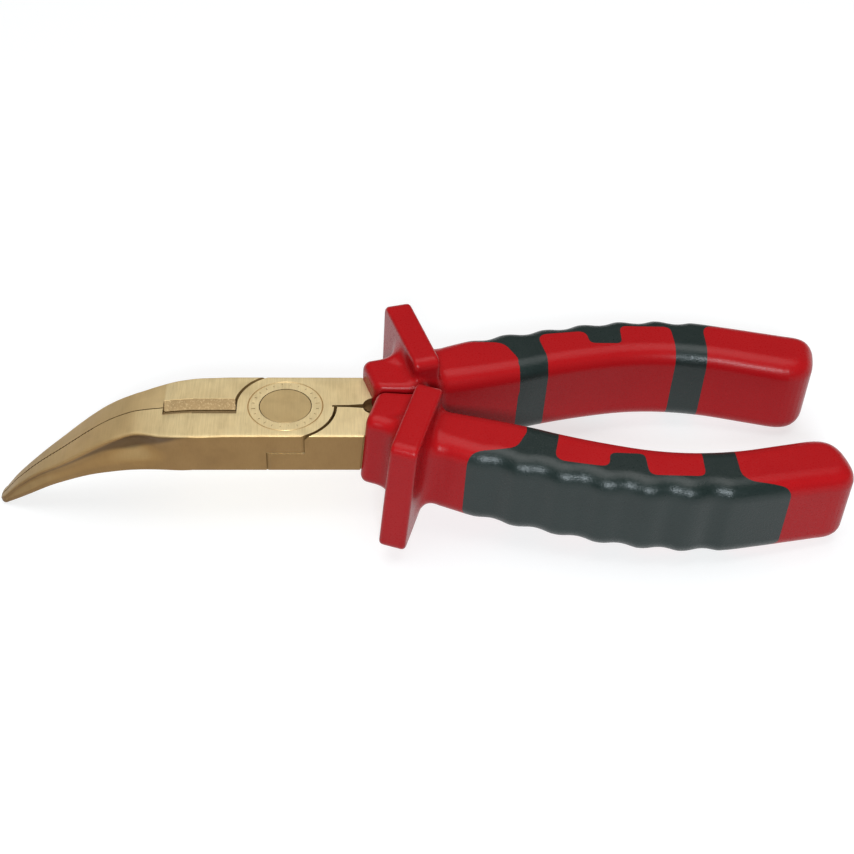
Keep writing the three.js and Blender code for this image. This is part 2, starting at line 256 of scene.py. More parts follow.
def combine(target, other, operation, keep=False):
    """Applies a boolean of other to target's mesh, and removes other unless it is kept."""
    m = target.modifiers.new("combine", "BOOLEAN")
    m.object = other
    m.operation = operation
    m.solver = "MANIFOLD"
    depsgraph = bpy.context.evaluated_depsgraph_get()
    mesh = bpy.data.meshes.new_from_object(target.evaluated_get(depsgraph))
    target.modifiers.clear()
    old = target.data
    target.data = mesh
    bpy.data.meshes.remove(old)
    if not keep:
        remove(other)
    return target


def remove(o):
    mesh = o.data
    bpy.data.objects.remove(o)
    bpy.data.meshes.remove(mesh)


def copy(o, name):
    twin = bpy.data.objects.new(name, o.data.copy())
    bpy.context.scene.collection.objects.link(twin)
    return twin


def mirror(o):
    """Moves a mesh to the other side of the parting plane."""
    o.data.transform(Matrix.Scale(-1, 4, (0, 1, 0)))
    o.data.flip_normals()


def droop(o):
    o.data.transform(Matrix.Rotation(DROOP, 4, "Y"))
    return o


def finished(o, body, material, nodes):
    """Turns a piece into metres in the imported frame, and hands it over."""
    o.data.transform(Matrix.Scale(MM, 4) @ Matrix.Translation((0, 0, HALF_THICK)))
    o.data.shade_smooth()
    o.data.set_sharp_from_angle(angle=math.radians(32))
    o.data.materials.clear()
    o.data.materials.append(material)
    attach(o, body)
    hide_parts(*nodes)


# ---- moulded solids: an implicit shape sampled on a grid, then skinned with quads ------
CORNERS = np.array([[i, j, k] for i in (0, 1) for j in (0, 1) for k in (0, 1)])


def skin(name, distance, low, high, step):
    """The zero surface of distance(x, y, z), one vertex to each grid cell that it crosses."""
    low, high = np.array(low, float), np.array(high, float)
    count = np.ceil((high - low) / step).astype(int) + 1
    axes = [low[i] + step * np.arange(count[i]) for i in range(3)]
    value = distance(axes[0][:, None, None], axes[1][None, :, None], axes[2][None, None, :])
    value = np.broadcast_to(value, count).astype(np.float32)
    inside = value < 0
    full = np.zeros(count - 1, np.int8)
    for i, j, k in CORNERS:
        full += inside[i : count[0] - 1 + i, j : count[1] - 1 + j, k : count[2] - 1 + k]
    active = (full > 0) & (full < 8)
    cells = np.argwhere(active)
    index = np.full(active.shape, -1, np.int32)
    index[active] = np.arange(len(cells))
    total, hits = np.zeros((len(cells), 3)), np.zeros(len(cells))
    for a in CORNERS:
        for axis in range(3):
            if a[axis]:
                continue
            b = a.copy()
            b[axis] = 1
            va = value[tuple((cells + a).T)]
            vb = value[tuple((cells + b).T)]
            crossed = (va < 0) != (vb < 0)
            t = va[crossed] / (va[crossed] - vb[crossed])
            total[crossed] += a + t[:, None] * (b - a)
            hits[crossed] += 1
    points = low + step * (cells + total / hits[:, None])
    faces = []
    for axis in range(3):
        first = [slice(None)] * 3
        second = [slice(None)] * 3
        first[axis], second[axis] = slice(0, -1), slice(1, None)
        a, b = inside[tuple(first)], inside[tuple(second)]
        where = np.argwhere(a != b)
        u, v = (axis + 1) % 3, (axis + 2) % 3
        where = where[(where[:, u] > 0) & (where[:, v] > 0)]
        outward = a[tuple(where.T)]
        du, dv = np.zeros(3, int), np.zeros(3, int)
        du[u], dv[v] = 1, 1
        quad = [index[tuple((where + s).T)] for s in (-du - dv, -dv, 0 * du, -du)]
        quad = np.column_stack(quad)
        quad[~outward] = quad[~outward][:, ::-1]
        faces.append(quad)
    faces = np.vstack(faces)
    for _ in range(3):
        points = settle(points, distance, step)
    return make(name, points, faces.tolist())


def settle(points, distance, step):
    """Moves points onto the zero surface, at most half a step at a time."""
    d = distance(*points.T)
    h = 0.05  # mm on each side, for the slope
    slope = np.empty_like(points)
    for axis in range(3):
        shift = np.zeros(3)
        shift[axis] = h
        slope[:, axis] = (distance(*(points + shift).T) - distance(*(points - shift).T)) / (2 * h)
    size = np.maximum(np.sum(slope**2, axis=1), 0.25)
    move = -(d / size)[:, None] * slope
    length = np.linalg.norm(move, axis=1)
    return points + move * np.minimum(1, 0.5 * step / np.maximum(length, 1e-9))[:, None]


def outline_distance(outline, x, y):
    """Signed distance to a closed outline in plan, negative inside."""
    x, y = np.broadcast_arrays(x, y)
    best = np.full(x.shape, 1e9)
    inside = np.zeros(x.shape, bool)
    for (ax, ay), (bx, by) in zip(outline, np.roll(outline, -1, axis=0)):
        ex, ey = bx - ax, by - ay
        length_squared = ex * ex + ey * ey
        if length_squared < 1e-12:
            continue
        wx, wy = x - ax, y - ay
        t = np.clip((wx * ex + wy * ey) / length_squared, 0, 1)
        best = np.minimum(best, (wx - t * ex) ** 2 + (wy - t * ey) ** 2)
        crosses = ((ay > y) != (by > y)) & (x < ax + (y - ay) * ex / (ey if ey else 1e-12))
        inside ^= crosses
    return np.where(inside, -1, 1) * np.sqrt(best)


def rounded_slab(flat, height, edge):
    """Distance to a slab with rounded edges, from the distance in plan and the distance past its faces."""
    a, b = flat + edge, height + edge
    return np.minimum(np.maximum(a, b), 0) + np.sqrt(np.maximum(a, 0) ** 2 + np.maximum(b, 0) ** 2) - edge


def blended(a, b, size):
    """The smooth union of two distances, with a fillet."""
    h = np.maximum(size - np.abs(a - b), 0) / size
    return np.minimum(a, b) - h * h * size / 4


def ramp(x, start, end):
    t = np.clip((x - start) / (end - start), 0, 1)
    return t * t * (3 - 2 * t)


# ---- handles --------------------------------------------------------------------------
def scallop(x):
    """Depth of the finger scallops under their crests; each rises quickly to the next crest."""
    u = (x - SCALLOP_FIRST) / SCALLOP_PITCH
    within = (u > 0) & (u < SCALLOP_COUNT)
    phase = np.where(within, u % 1, 0) ** 1.25
    return SCALLOP_DEPTH * np.sin(math.pi * phase) ** 2


def handle_outline():
    outer = spline(OUTER_FACE, 120)
    outer[:, 1] -= scallop(outer[:, 0])
    inner = spline(INNER_FACE, 40)
    end = rounded([outer[-1].tolist(), *HANDLE_END, inner[0].tolist()])[1:-1]
    return np.vstack([outer, end, inner, [[28, 2.2], [28, 14]]])


OUTLINE = handle_outline()


def plate_distance(plate, along, across, up):
    """Distance to a plate that stands across a handle, with rounded corners and edges."""
    half = (plate["end"] - plate["start"]) / 2
    mid_across = (plate["inner"] + plate["outer"]) / 2
    mid_up = (plate["bottom"] + plate["top"]) / 2
    r = plate["radius"]
    a = np.abs(across - mid_across) - (plate["outer"] - mid_across - r)
    b = np.abs(up - mid_up) - (plate["top"] - mid_up - r)
    flat = np.minimum(np.maximum(a, b), 0) + np.sqrt(np.maximum(a, 0) ** 2 + np.maximum(b, 0) ** 2) - r
    return rounded_slab(flat, np.abs(along - plate["start"] - half) - half, plate["edge"])


def grip_distance(x, y, z, side):
    """Distance to a grip with its overlay. side is the sign of Y of the handle."""
    flat = outline_distance(OUTLINE, x, y)
    if side > 0:
        flat = flat - GRIP_FULLNESS * ramp(-x, -62, -50) * ramp(y, 14, 19)
    return rounded_slab(flat, np.abs(z) - GRIP_HALF_HEIGHT, GRIP_EDGE)


def handle_distance(x, y, z, side):
    """Grip, guard and collar of a handle drawn on the far side, run together with moulded fillets."""
    grip = grip_distance(x, y, z, side)
    along = x * math.cos(SPLAY) + y * math.sin(SPLAY) - GUARD["start"]
    across = -x * math.sin(SPLAY) + y * math.cos(SPLAY)
    lean = LEAN[side]
    up = z * math.cos(lean) + along * math.sin(lean)
    along = -z * math.sin(lean) + along * math.cos(lean) + GUARD["start"]
    guard = plate_distance(GUARD, along - GUARD_SHIFT[side], across, up)
    collar = plate_distance(COLLAR, along, across, up)
    collar = rounded_slab(collar, COLLAR_INNER - y, 1.6)
    # the fillets grow towards the outer side
    outer = ramp(across, 3.0, 9.0)
    body = blended(guard, grip, 2.6 + 3.6 * outer)
    return blended(body, collar, 2.2 + 2.8 * ramp(across, 0.0, 4.0))


CENTRELINE = spline(HANDLE_LINE, 400)


def bar(name, half_width, half_height, start, end):
    """A flat bar along the handle, drawn before it droops."""
    xs = np.linspace(start, end, 30)
    ys = np.interp(xs, CENTRELINE[:, 0], CENTRELINE[:, 1])
    slope = np.arctan(np.gradient(ys, xs))
    left = np.column_stack([xs - np.sin(slope) * half_width, ys + np.cos(slope) * half_width])
    right = np.column_stack([xs + np.sin(slope) * half_width, ys - np.cos(slope) * half_width])
    return prism(name, np.vstack([right, left[::-1]]), -half_height, half_height)


def splayed(along, across):
    """A point given along and across a collar, in plan."""
    c, s = math.cos(SPLAY), math.sin(SPLAY)
    return [along * c - across * s, along * s + across * c]


def tang_root(name, grow):
    """The tang inside the collar, or with grow the room for it."""
    outline = [[16, -2.9 - grow], [26, -2.9 - grow], [26, 4.2 + grow], [20, 4.8 + grow], [16, 4.8 + grow]]
    points = np.array([splayed(a, b) for a, b in outline])
    return prism(name, points, -HALF_THICK - grow, HALF_THICK + grow)


def overlay_cutter(name):
    """The overlay's outline; the front band runs back a little towards the underside."""
    o = prism(name, rounded(OVERLAY_OUTLINE), -OVERLAY_HALF_HEIGHT, OVERLAY_HALF_HEIGHT)
    for v in o.data.vertices:
        if 52 < v.co.x < 67 and v.co.y < 10 and v.co.z < 0:
            v.co.x += BAND_SLANT
    return o


def handle(side):
    """Grip and overlay of one handle, drawn on the far side and mirrored for the near one."""

    def outside(x, y, z):
        return handle_distance(x, y, z, side)

    def under_overlay(x, y, z):
        return grip_distance(x, y, z, side) + OVERLAY_WALL

    body = skin("grip_body", outside, *HANDLE_BOX, VOXEL)
    core = skin("grip_core", under_overlay, *HANDLE_BOX, CORE_VOXEL)
    ring = combine(overlay_cutter("ring"), core, "DIFFERENCE")
    overlay = combine(copy(body, "overlay"), ring, "INTERSECT", keep=True)
    grip = combine(body, ring, "DIFFERENCE")
    combine(grip, bar("bore", *BORE_BAR), "DIFFERENCE")
    for o in (grip, overlay):
        droop(o)
    combine(grip, droop(bar("neck", *NECK_BAR)), "DIFFERENCE")
    combine(grip, tang_root("root", TANG_CLEARANCE), "DIFFERENCE")
    if side < 0:
        for o in (grip, overlay):
            mirror(o)
    return grip, overlay


# ---- levers ---------------------------------------------------------------------------
crest_of, foot_of = curve(CREST), curve(FOOT)
top_of, bottom_of = curve(NOSE_TOP), curve(NOSE_BOTTOM)
offset_of, lean_of = curve(OFFSET), curve(SECTION_LEAN)
hollow_of, crown_of, rounding_of = curve(HOLLOW), curve(CROWN), curve(CREST_ROUNDING)


def section(x):
    """Half of the closed jaws' section at x on the top line: [x, y, z] points from the top to the bottom."""
    nose = x < NOSE_START
    bottom_x = float(lean_of(x)) if nose else x
    top = np.array([x, float(top_of(x)) if nose else HALF_THICK])
    foot = np.array([bottom_x, float(bottom_of(bottom_x)) if nose else -HALF_THICK])
    crest_y = float(crest_of(x)) if x < CREST_END else HALF_WIDTH
    foot_y = float(foot_of(bottom_x)) if nose else HALF_WIDTH
    height = np.linalg.norm(top - foot)
    edge = float(rounding_of(x)) if nose else JOINT_EDGE
    low_edge = min(0.22, 0.3 * foot_y)
    crown = float(crown_of(x)) if nose else 0.0
    tilt = math.atan(2 * crown / crest_y)
    # sideways and down: the crowned top, the rounded crest, the flank, the lower edge and the bottom
    points = []
    for t in (0, 0.2, 0.4, 0.6, 0.8, 0.92):
        points.append(((crest_y - edge) * t, crown * t * t))
    for a in np.linspace(tilt, math.pi / 2, 7):
        points.append((crest_y - edge + edge * math.sin(a), crown + edge * (1 - math.cos(a))))
    hollow = float(hollow_of(x)) if nose else 0.0
    for t in np.linspace(0, 1, 26)[1:-1]:
        flank = crest_y + (foot_y - crest_y) * float(ramp(t, 0.1, 0.8))
        dip = hollow * math.sin(math.pi * t**0.72) ** 1.3
        points.append((flank - dip, crown + edge + (height - crown - edge - low_edge) * t))
    for a in np.linspace(0, math.pi / 2, 5):
        y = foot_y - low_edge + low_edge * math.cos(a)
        points.append((y, height - low_edge + low_edge * math.sin(a)))
    for t in (0.6, 0):
        points.append(((foot_y - low_edge) * t, height))
    down = (foot - top) / height
    return np.array([[top[0] + down[0] * d, y, top[1] + down[1] * d] for y, d in points])


def blank():
    """Both closed jaws and the joint as one body, which the levers are cut from."""
    xs = list(np.linspace(24, -19, 9)) + list(np.linspace(-20, -68.7, 116))
    halves = [section(x) for x in xs]
    # the blunt tip: the last section shrinks as it moves on
    last = halves[-1]
    centre = (last[0] + last[-1]) / 2
    ahead = np.array([-0.78, 0, -0.63])
    for a in np.linspace(0, math.pi / 2, 7)[1:]:
        shrink = max(math.cos(a), 0.03)
        halves.append(centre + (last - centre) * shrink + ahead * 2.4 * math.sin(a))
    loops = []
    for half in halves:
        other = half[1:-1][::-1] * [1, -1, 1]
        loop = np.vstack([half, other])
        height = np.clip((loop[:, 2] - half[-1, 2]) / max(half[0, 2] - half[-1, 2], 0.1), 0, 1)
        loop[:, 1] -= float(offset_of(half[0, 0])) * height
        loops.append(loop)
    size, total = len(loops[0]), len(loops[0]) * len(loops)
    front, back = tuple(range(size)), tuple(range(total - size, total))[::-1]
    faces = [front, *between_loops(len(loops), size), back]
    return facing_out(make("blank", np.vstack(loops), faces))


def half_plan(side):
    """Plan of one lever without its lap: a jaw on one side and the start of the tang on the other."""
    s = SEAM / 2
    jaw_part = np.array([[-75, s], [0, s], [0, 15], [-75, 15]])
    tang_part = np.array([[0, s], [23.5, s], [23.5, 15], [0, 15]])
    return jaw_part * [1, side], tang_part * [1, -side]


def collar_trim(side):
    """What a tang loses so that it stops at its collar's leaning front face. side is the handle's."""
    start = COLLAR["start"] - COLLAR_CLEARANCE
    o = block("trim", start, 60, -DEEP, DEEP, -DEEP, DEEP)
    o.data.transform(Matrix.Translation((-GUARD["start"], 0, 0)))
    o.data.transform(Matrix.Rotation(LEAN[side], 4, "Y"))
    o.data.transform(Matrix.Translation((GUARD["start"], 0, 0)))
    o.data.transform(Matrix.Rotation(DROOP, 4, "Y") @ Matrix.Rotation(side * SPLAY, 4, "Z"))
    return o


def lever(name, base, side, lap):
    """side is the sign of Y of the lever's jaw; lap is the sign of Z of its half-lap."""
    jaw_plan, tang_plan = half_plan(side)
    keep = prism("keep", jaw_plan, -DEEP, HIGH)
    combine(keep, prism("keep_tang", tang_plan, -DEEP, HIGH), "UNION")
    s = SEAM / 2
    own_span, other_span = ((s, HIGH), (-HIGH, s)) if lap > 0 else ((-HIGH, -s), (-s, HIGH))
    combine(keep, disc("other", LAP_RADIUS[-lap] + SEAM, *other_span), "DIFFERENCE")
    if lap < 0:
        r, z = LAP_RADIUS[1] + SEAM, HALF_THICK
        wide, low = r + FLARE["width"], z - FLARE["depth"]
        flare = turned("flare", [[0, low], [r, low], [wide, z + 0.02], [wide, 9], [0, 9]])
        combine(keep, flare, "DIFFERENCE")
    combine(keep, disc("own", LAP_RADIUS[lap], *own_span), "UNION")
    o = combine(copy(base, name), keep, "INTERSECT")
    combine(o, prism("slot", np.array(SLOT), -CUT, CUT), "DIFFERENCE")
    notch = disc("notch", NOTCH["radius"], HALF_THICK - NOTCH["depth"], CUT)
    notch.data.transform(Matrix.Translation((NOTCH["x"], 0, 0)))
    combine(o, notch, "DIFFERENCE")
    root = tang_root("root", 0)
    tail = droop(bar("tail", *TANG_BAR))
    if side > 0:
        mirror(root)
        mirror(tail)
    combine(o, collar_trim(-side), "DIFFERENCE")
    combine(o, combine(root, tail, "UNION"), "UNION")
    combine(o, cutter_pocket(), "DIFFERENCE")
    combine(o, teeth(side), "DIFFERENCE")
    combine(o, disc("bore", RIVET_SHANK + 0.1, -CUT, CUT), "DIFFERENCE")
    if lap > 0:
        seat = disc("seat", RIVET_HEAD + RIVET_CLEARANCE, HALF_THICK - RIVET_HEAD_HEIGHT - 0.05, CUT)
        combine(o, seat, "DIFFERENCE")
        combine(o, ring_groove(), "DIFFERENCE")
        combine(o, ticks(), "DIFFERENCE")
    else:
        seat = disc("seat", RIVET_FOOT + RIVET_CLEARANCE, -CUT, -HALF_THICK + RIVET_HEAD_HEIGHT + 0.05)
        combine(o, seat, "DIFFERENCE")
    return o


def positions(elements, key):
    """X, Y and Z of all vertices or faces."""
    at = np.empty(len(elements) * 3)
    elements.foreach_get(key, at)
    return at.reshape(-1, 3).T


def write_attribute(mesh, name, domain, value):
    mesh.attributes.new(name, "FLOAT", domain).data.foreach_set("value", value.astype(np.float32))


def mark(o):
    """Marks the band of painted shade under the crest, the rough recess of the cutter and the floor of the
    notch, where shade is painted too.
    """
    mesh = o.data
    x, y, z = positions(mesh.vertices, "co")
    shade_band = np.array(SHADE_BAND)
    start, end = (np.interp(x, shade_band[:, 0], shade_band[:, i]) for i in (1, 2))
    share = (top_of(x) - z) / (top_of(x) - bottom_of(x))
    side = ramp(np.abs(y), 0.55 * crest_of(x), 0.75 * crest_of(x))
    inside = ramp(share, start - 0.04, start + 0.03) * (1 - ramp(share, end - 0.06, end + 0.05))
    value = np.where(x < NOSE_START, inside * side, 0) * (0.45 + 0.55 * ramp(x, -60, -40))
    write_attribute(mesh, "shade_band", "POINT", value)

    x, y, z = positions(mesh.polygons, "center")
    top = np.where(x < NOSE_START, top_of(x) - 0.15, HALF_THICK)
    recess = (x > -28.7) & (x < -11) & (np.abs(y) < 3) & (z < top - 0.03) & (z > HALF_THICK - 2)
    write_attribute(mesh, "recess", "FACE", recess)
    notch = (np.hypot(x - NOTCH["x"], y) < NOTCH["radius"] + 0.3) & (z < HALF_THICK - 0.3) & (z > 0)
    write_attribute(mesh, "notch", "FACE", notch)


def cutter_pocket():
    """The side cutter's recess in the upper face: a wide rough bevel, with a soft lip on the near side."""
    z = HALF_THICK
    profile = [[-2.9, 0.5, 0], [-2.9, 0.01, 0], [-2.2, -0.1, 0.5], [-1.0, -1.3, 0.5], [-0.15, -1.5, 0.3],
               [0.35, -1.3, 0.3], [2.75, 0.01, 0.2], [2.75, 0.5, 0]]
    outline = rounded(profile, 4)
    # X and share of the full depth, which is less at the front end
    stations = [[-28.75, 0.5], [-28.6, 0.85], [-28.3, 1], [-27, 1], [-25.5, 1], [-24, 1], [-22.8, 1],
                [-21.8, 1], [-14, 1], [-11.4, 1]]
    vertices = []
    for x, depth in stations:
        drop = float(top_of(x)) - z if x < NOSE_START else 0.0
        vertices += [[x, y, z + drop + (depth * h if h < 0 else h)] for y, h in outline]
    n, total = len(outline), len(vertices)
    faces = [tuple(range(n)), tuple(range(total - n, total))[::-1], *between_loops(len(stations), n)]
    return facing_out(make("pocket", vertices, faces))


def teeth(side):
    """Fine teeth across the gripping face, joined into one comb."""
    comb = None
    half, depth = TEETH["half_width"], SEAM / 2 + TEETH["depth"]
    x = TEETH["first"]
    while x > TEETH["last"]:
        wedge = np.array([[x - half, 0], [x, depth], [x + half, 0]]) * [1, side]
        tooth = prism("tooth", wedge, -30, 6)
        comb = tooth if comb is None else combine(comb, tooth, "UNION")
        x -= TEETH["pitch"]
    return comb


def ring_groove():
    """The fine groove of the outer ring round the rivet."""
    z, r = HALF_THICK, RING_RADIUS
    inner, outer = r - RING_HALF_WIDTH, r + RING_HALF_WIDTH
    return turned("groove", [[inner, z + 0.1], [inner, z], [r, z - 0.2], [outer, z], [outer, z + 0.1]])


def ticks():
    """Plain ticks between the two rings, where the real tool is marked."""
    comb = None
    half = TICK["half_width"]
    for k in range(TICK["count"]):
        a = 2 * math.pi * (k + 0.5) / TICK["count"]
        length = TICK["long"] if k % 6 == 0 else TICK["short"]
        near, far = TICK["radius"] - length / 2, TICK["radius"] + length / 2
        outline = np.array([[near, -half], [far, -half], [far, half], [near, half]])
        turn = np.array([[math.cos(a), math.sin(a)], [-math.sin(a), math.cos(a)]])
        tick = prism("tick", outline @ turn, HALF_THICK - TICK["depth"], HALF_THICK + 0.3)
        comb = tick if comb is None else combine(comb, tick, "UNION")
    return comb


def rivet():
    """A flush rivet with a head on top and a smaller foot below, both with a small chamfer."""
    t, h = HALF_THICK, RIVET_HEAD_HEIGHT
    profile = [[0, -t], [RIVET_FOOT - 0.15, -t], [RIVET_FOOT, -t + 0.15], [RIVET_FOOT, h - t],
               [RIVET_SHANK, h - t], [RIVET_SHANK, t - h], [RIVET_HEAD, t - h], [RIVET_HEAD, t - 0.1],
               [RIVET_HEAD - 0.1, t], [0, t]]
    return turned("rivet", profile)


# ---- materials ------------------------------------------------------------------------
class Nodes:
    """A node material with a Principled shader, and short ways to add nodes."""

    def __init__(self, name):
        self.material = bpy.data.materials.new(name)
        self.material.use_nodes = True
        self.tree = self.material.node_tree
        self.shader = self.tree.nodes["Principled BSDF"]
        self.place = self.add("ShaderNodeTexCoord").outputs["Object"]

    def add(self, kind, **values):
        node = self.tree.nodes.new(kind)
        for key, value in values.items():
            setattr(node, key, value)
        return node

    def link(self, source, target):
        self.tree.links.new(source, target)

    def fixed(self, **sockets):
        for key, value in sockets.items():
            self.shader.inputs[key.replace("_", " ")].default_value = value

    def scaled(self, scale):
        mapping = self.add("ShaderNodeMapping")
        mapping.inputs["Scale"].default_value = scale
        self.link(self.place, mapping.inputs["Vector"])
        return mapping.outputs["Vector"]

    def noise(self, scale, detail=2.0, roughness=0.5, vector=None):
        node = self.add("ShaderNodeTexNoise")
        node.inputs["Scale"].default_value = scale
        node.inputs["Detail"].default_value = detail
        node.inputs["Roughness"].default_value = roughness
        self.link(vector or self.place, node.inputs["Vector"])
        return node.outputs["Fac"]

    def ramp(self, factor, *stops):
        node = self.add("ShaderNodeValToRGB")
        while len(node.color_ramp.elements) < len(stops):
            node.color_ramp.elements.new(0.5)
        for element, (position, colour) in zip(node.color_ramp.elements, stops):
            element.position = position
            element.color = (*colour, 1)
        self.link(factor, node.inputs["Fac"])
        return node.outputs["Color"]

    def rise(self):
        """How far the surface faces up, from 0 (down) through 0.5 (upright) to 1 (up)."""
        split = self.add("ShaderNodeSeparateXYZ")
        self.link(self.add("ShaderNodeNewGeometry").outputs["True Normal"], split.inputs[0])
        return self.range(split.outputs["Z"], -1.0, 1.0, 0.0, 1.0)

    def range(self, factor, from_min, from_max, to_min, to_max):
        node = self.add("ShaderNodeMapRange")
        limits = {"From Min": from_min, "From Max": from_max, "To Min": to_min, "To Max": to_max}
        for key, value in limits.items():
            node.inputs[key].default_value = value
        self.link(factor, node.inputs["Value"])
        return node.outputs["Result"]

    def mix(self, factor, a, b, blend="MIX"):
        node = self.add("ShaderNodeMix", data_type="RGBA", blend_type=blend)
        for socket, value in zip([node.inputs[0], node.inputs[6], node.inputs[7]], [factor, a, b]):
            if isinstance(value, bpy.types.NodeSocket):
                self.link(value, socket)
            else:
                socket.default_value = value if isinstance(value, float) else (*value, 1)
        return node.outputs[2]

    def math(self, operation, a, b):
        node = self.add("ShaderNodeMath", operation=operation)
        for socket, value in zip(node.inputs, [a, b]):
            if isinstance(value, bpy.types.NodeSocket):
                self.link(value, socket)
            else:
                socket.default_value = value
        return node.outputs[0]

    def bump(self, height, strength, distance, normal=None):
        node = self.add("ShaderNodeBump")
        node.inputs["Strength"].default_value = strength
        node.inputs["Distance"].default_value = distance
        self.link(height, node.inputs["Height"])
        if normal:
            self.link(normal, node.inputs["Normal"])
        return node.outputs["Normal"]


def linear(r, g, b):
    """An sRGB colour of 0 to 255 as linear numbers."""
    return tuple(((v / 255 + 0.055) / 1.055) ** 2.4 if v > 10 else v / 255 / 12.92 for v in (r, g, b))


def bronze_material(name, ground, cast, shade, brushed):
    """Bronze: pale and brushed where it is ground flat, darker satin on the cast faces, with painted shade
    and painted light over the cast tone.
    """
    m = Nodes(name)
    m.fixed(Metallic=0.55, IOR=1.45)
    geometry = m.add("ShaderNodeNewGeometry")
    normal = m.add("ShaderNodeSeparateXYZ")
    m.link(geometry.outputs["True Normal"], normal.inputs[0])
    point = m.add("ShaderNodeSeparateXYZ")
    m.link(m.place, point.inputs[0])
    x, y, upright = point.outputs["X"], point.outputs["Y"], normal.outputs["Z"]
    # ground: the flat faces, from an edge on the nose that is sharp on the far side and soft on the near one
    flat = m.range(m.math("ABSOLUTE", upright, 0.0), 0.93, 0.985, 0.0, 1.0)
    far_edge = m.range(x, -0.0288, -0.0283, 0.0, 1.0)
    near_edge = m.range(x, -0.041, -0.025, 0.0, 1.0)
    near = m.range(y, -0.0005, 0.0005, 1.0, 0.0)
    edge = m.add("ShaderNodeMix", data_type="FLOAT")
    for socket, value in zip((edge.inputs[0], edge.inputs[2], edge.inputs[3]), (near, far_edge, near_edge)):
        m.link(value, socket)
    is_ground = m.math("MULTIPLY", flat, edge.outputs[0])
    shade_band = m.add("ShaderNodeAttribute", attribute_name="shade_band").outputs["Fac"]
    recess = m.add("ShaderNodeAttribute", attribute_name="recess").outputs["Fac"]
    notch = m.add("ShaderNodeAttribute", attribute_name="notch").outputs["Fac"]
    streaks = m.noise(1.0, 3.0, 0.6, m.scaled((4200, 170, 700)))
    fine = m.noise(7000, 2.0, 0.55)
    clouds = m.noise(170, 3.0, 0.55)
    wide = m.noise(45, 2.0, 0.5)
    # cast, with painted shade: darker on the flanks, towards the tip and on the far side; with painted
    # light: paler on top and at the bend
    flank = tuple(0.28 * a + 0.41 * b for a, b in zip(shade, cast))
    cast_with_painted_shading = m.mix(m.range(upright, 0.1, 0.75, 0.0, 1.0), flank, cast)
    cast_with_painted_shading = m.mix(m.range(x, -0.069, -0.05, 0.6, 0.0), cast_with_painted_shading, shade)
    far_side_shade = m.range(y, 0.0, 0.0015, 0.0, 0.22)
    far_tip_shade = m.math("MULTIPLY", far_side_shade, m.range(x, -0.05, -0.035, 1.0, 0.0))
    cast_with_painted_shading = m.mix(far_tip_shade, cast_with_painted_shading, shade)
    # painted shade in the band of the hollow under the crest
    cast_with_painted_shading = m.mix(shade_band, cast_with_painted_shading, tuple(0.8 * a for a in shade))
    # painted light: faces that look up turn paler, most of all at the bend
    cast_with_painted_shading = m.mix(m.range(upright, 0.25, 0.8, 0.0, 0.28), cast_with_painted_shading, ground)
    rising = m.range(upright, 0.3, 0.9, 0.0, 0.4)
    painted_bend_light = m.math("MULTIPLY", rising, m.range(x, -0.047, -0.03, 0.0, 1.0))
    cast_with_painted_shading = m.mix(painted_bend_light, cast_with_painted_shading, ground)
    colour = m.mix(is_ground, cast_with_painted_shading, ground)
    flecks = m.ramp(m.noise(2300, 2.0, 0.6), (0.52, (0.3, 0.2, 0.09)), (0.7, (0.55, 0.41, 0.22)))
    colour = m.mix(m.math("MULTIPLY", recess, 0.85), colour, flecks)
    # painted shade on the floor of the notch
    colour = m.mix(notch, colour, tuple(1.5 * a for a in shade))
    mottle = m.math("MULTIPLY_ADD", clouds, 0.5)
    mottle.node.inputs[2].default_value = 0.74
    patches = m.ramp(mottle, (0.85, (0.82, 0.8, 0.78)), (1.0, (1, 1, 1)))
    colour = m.mix(0.6, colour, m.mix(1.0, colour, patches, "MULTIPLY"))
    grooves = m.ramp(streaks, (0.3, (0.78, 0.75, 0.7)), (0.62, (1, 1, 1)))
    amount = m.range(is_ground, 0.0, 1.0, 0.25 * brushed, 0.6 * brushed)
    colour = m.mix(1.0, colour, m.mix(amount, (1, 1, 1), grooves), "MULTIPLY")
    tarnish = m.ramp(wide, (0.35, (0.93, 0.9, 0.86)), (0.6, (1, 1, 1)))
    colour = m.mix(1.0, colour, tarnish, "MULTIPLY")
    m.link(colour, m.shader.inputs["Base Color"])
    rough = m.range(m.noise(420, 3.0), 0.3, 0.7, 0.4, 0.52)
    m.link(rough, m.shader.inputs["Roughness"])
    bumped = m.bump(streaks, 0.3 * brushed, 0.00003)
    bumped = m.bump(fine, 0.2, 0.00003, bumped)
    m.link(bumped, m.shader.inputs["Normal"])
    return m.material


def red_material():
    """The glossy red moulding, with painted shade that deepens its upright faces."""
    m = Nodes("red_vinyl")
    m.fixed(IOR=1.49, Specular_IOR_Level=0.17)
    clouds = m.noise(90, 3.0, 0.5)
    colour = m.mix(clouds, linear(170, 17, 22), linear(180, 23, 26))
    # painted shade: the upright faces are darker than the tops
    painted_side_shade = m.ramp(m.rise(), (0.45, (0.68, 0.5, 0.7)), (0.85, (1, 1, 1)))
    colour = m.mix(1.0, colour, painted_side_shade, "MULTIPLY")
    m.link(colour, m.shader.inputs["Base Color"])
    grain = m.noise(2600, 4.0, 0.6)
    m.link(m.range(grain, 0.3, 0.7, 0.25, 0.34), m.shader.inputs["Roughness"])
    normal = m.bump(grain, 0.5, 0.00009)
    m.link(normal, m.shader.inputs["Normal"])
    return m.material


